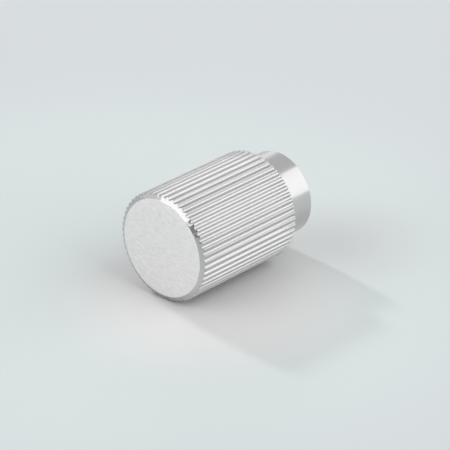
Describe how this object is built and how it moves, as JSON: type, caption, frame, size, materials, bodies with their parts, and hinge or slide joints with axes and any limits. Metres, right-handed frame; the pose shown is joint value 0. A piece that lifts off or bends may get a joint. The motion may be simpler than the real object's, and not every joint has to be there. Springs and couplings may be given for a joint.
{
  "type": "cylinder knob",
  "caption": "Short metal cabinet knob: a cylinder head with fine straight flutes and a chamfered flat face, on a plain narrower neck with a blind screw hole.",
  "frame": {"origin": "centre of the mounting face at the foot of the neck", "axes": "+Z along the knob's axis, from the mounting face out to the front face; one flute's floor lies on +X"},
  "size_m": [0.02, 0.02, 0.0302],
  "materials": {
    "satin_aluminium": "satin, silver anodised: fine turned lines on neck and chamfer, fine brushed face"
  },
  "bodies": {
    "root": {"knob": "satin_aluminium"}
  },
  "joints": []
}
